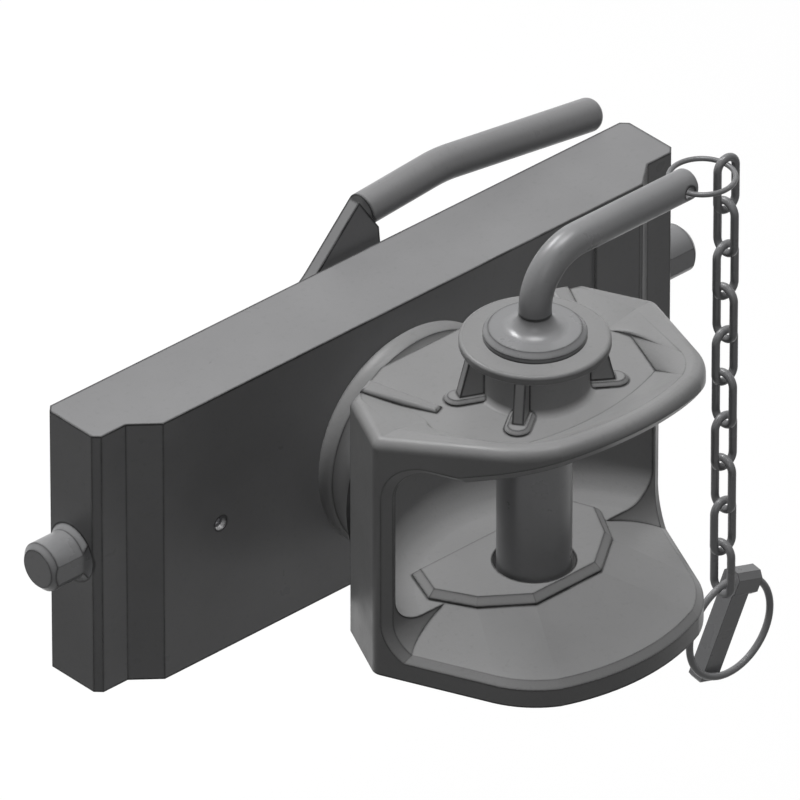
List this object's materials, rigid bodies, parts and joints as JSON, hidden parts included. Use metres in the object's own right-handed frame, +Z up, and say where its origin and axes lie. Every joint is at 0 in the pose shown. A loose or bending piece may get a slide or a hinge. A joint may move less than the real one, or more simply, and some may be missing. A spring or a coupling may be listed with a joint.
{
  "type": "towing jaw hitch",
  "caption": "Swivelling towing jaw with a drop pin, chain and securing pin, on a carriage that locks in a tractor's hitch ladder with lever-drawn side pins.",
  "frame": {"origin": "where the jaw's swivel axis crosses the axis of the two locking pins, at mid-height and mid-width of the carriage", "axes": "-Y towards the open mouth, +Y towards the tractor, +Z up, +X to the right seen from the mouth"},
  "size_m": [0.368, 0.2387, 0.2691],
  "materials": {
    "body_grey": "satin grey paint on forged steel",
    "pin_steel": "machined and zinc plated",
    "spring_steel": "oiled spring steel",
    "bronze": "machined bronze"
  },
  "bodies": {
    "carriage": {"carriage_block": "body_grey", "front_bush": "bronze", "rear_bush": "bronze", "thrust_washer": "pin_steel", "lever_stop_pin": "pin_steel", "lever_retaining_ring": "spring_steel", "guide_screw_left": "pin_steel", "guide_screw_right": "pin_steel", "pin_spring_left": "spring_steel", "pin_spring_right": "spring_steel"},
    "lock_left": {"lock_pin_left": "pin_steel", "peg_left": "pin_steel"},
    "lock_right": {"lock_pin_right": "pin_steel", "peg_right": "pin_steel"},
    "lock_lever": {"lever_plate": "body_grey", "lever_rod": "pin_steel"},
    "jaw_swivel": {"jaw_casting": "body_grey", "swivel_shaft": "pin_steel", "rear_thrust_ring": "pin_steel", "disc_spring_front": "spring_steel", "disc_spring_rear": "spring_steel", "shaft_washer": "pin_steel", "castle_nut": "pin_steel", "split_pin": "pin_steel", "grease_nipple": "pin_steel"},
    "hitch_pin_body": {"hitch_pin": "pin_steel", "pin_handle": "pin_steel"},
    "ring_body": {"handle_ring": "pin_steel"},
    "link_01": {"chain_link_01": "pin_steel"},
    "link_02": {"chain_link_02": "pin_steel"},
    "link_03": {"chain_link_03": "pin_steel"},
    "link_04": {"chain_link_04": "pin_steel"},
    "link_05": {"chain_link_05": "pin_steel"},
    "link_06": {"chain_link_06": "pin_steel"},
    "link_07": {"chain_link_07": "pin_steel"},
    "link_08": {"chain_link_08": "pin_steel"},
    "link_09": {"chain_link_09": "pin_steel"},
    "link_10": {"chain_link_10": "pin_steel"},
    "linch_ring_body": {"linch_ring": "pin_steel"},
    "linch_pin_body": {"linch_pin": "pin_steel"}
  },
  "joints": [
    {"name": "jaw_turn", "type": "hinge", "parent": "carriage", "child": "jaw_swivel", "pos_m": [0, -0.0267, 0], "axis": [0, 1, 0], "continuous": true},
    {"name": "lever_swing", "type": "hinge", "parent": "carriage", "child": "lock_lever", "pos_m": [0, 0.0225, 0], "axis": [0, -1, 0], "range_deg": [0, 60], "stiffness_Nm_per_rad": 2, "springref_deg": -28.65},
    {"name": "lock_left_slide", "type": "slide", "parent": "carriage", "child": "lock_left", "axis": [1, 0, 0], "range_m": [0, 0.019], "deforming": ["pin_spring_left"]},
    {"name": "lock_right_slide", "type": "slide", "parent": "carriage", "child": "lock_right", "axis": [-1, 0, 0], "range_m": [0, 0.019], "deforming": ["pin_spring_right"]},
    {"name": "pin_lift", "type": "slide", "parent": "jaw_swivel", "child": "hitch_pin_body", "axis": [0, 0, 1], "range_m": [0, 0.16]},
    {"name": "ring_swing", "type": "hinge", "parent": "hitch_pin_body", "child": "ring_body", "pos_m": [0.082, -0.106, 0.1235], "axis": [0, 1, 0], "range_deg": [-30, 50]},
    {"name": "link_01_swing", "type": "hinge", "parent": "ring_body", "child": "link_01", "pos_m": [0.10905, -0.106, 0.1235], "axis": [0, 1, 0], "range_deg": [-50, 30]},
    {"name": "link_02_swing", "type": "hinge", "parent": "link_01", "child": "link_02", "pos_m": [0.10905, -0.106, 0.10135], "axis": [1, 0, 0], "range_deg": [-20, 4]},
    {"name": "link_03_swing", "type": "hinge", "parent": "link_02", "child": "link_03", "pos_m": [0.10905, -0.106, 0.07985], "axis": [0, 1, 0], "range_deg": [-20, 1]},
    {"name": "link_04_swing", "type": "hinge", "parent": "link_03", "child": "link_04", "pos_m": [0.10905, -0.106, 0.05835], "axis": [1, 0, 0], "range_deg": [-20, 4]},
    {"name": "link_05_swing", "type": "hinge", "parent": "link_04", "child": "link_05", "pos_m": [0.10905, -0.106, 0.03685], "axis": [0, 1, 0], "range_deg": [-20, 1]},
    {"name": "link_06_swing", "type": "hinge", "parent": "link_05", "child": "link_06", "pos_m": [0.10905, -0.106, 0.01535], "axis": [1, 0, 0], "range_deg": [-20, 4]},
    {"name": "link_07_swing", "type": "hinge", "parent": "link_06", "child": "link_07", "pos_m": [0.10905, -0.106, -0.00615], "axis": [0, 1, 0], "range_deg": [-20, 1]},
    {"name": "link_08_swing", "type": "hinge", "parent": "link_07", "child": "link_08", "pos_m": [0.10905, -0.106, -0.02765], "axis": [1, 0, 0], "range_deg": [-20, 4]},
    {"name": "link_09_swing", "type": "hinge", "parent": "link_08", "child": "link_09", "pos_m": [0.10905, -0.106, -0.04915], "axis": [0, 1, 0], "range_deg": [-20, 1]},
    {"name": "link_10_swing", "type": "hinge", "parent": "link_09", "child": "link_10", "pos_m": [0.10905, -0.106, -0.07065], "axis": [1, 0, 0], "range_deg": [-20, 4]},
    {"name": "linch_ring_swing", "type": "hinge", "parent": "link_10", "child": "linch_ring_body", "pos_m": [0.10905, -0.106, -0.09215], "axis": [0, 1, 0], "range_deg": [-22, 1]},
    {"name": "linch_pin_swing", "type": "hinge", "parent": "linch_ring_body", "child": "linch_pin_body", "pos_m": [0.1198, -0.106, -0.0907], "axis": [0.9573, 0, -0.289], "range_deg": [0, 140]}
  ],
  "couplings": [
    {"joint": "lock_left_slide", "follows": "lever_swing", "m_per_rad": 0.018143},
    {"joint": "lock_right_slide", "follows": "lever_swing", "m_per_rad": 0.018143},
    {"joint": "link_01_swing", "follows": "ring_swing", "ratio": -1}
  ]
}
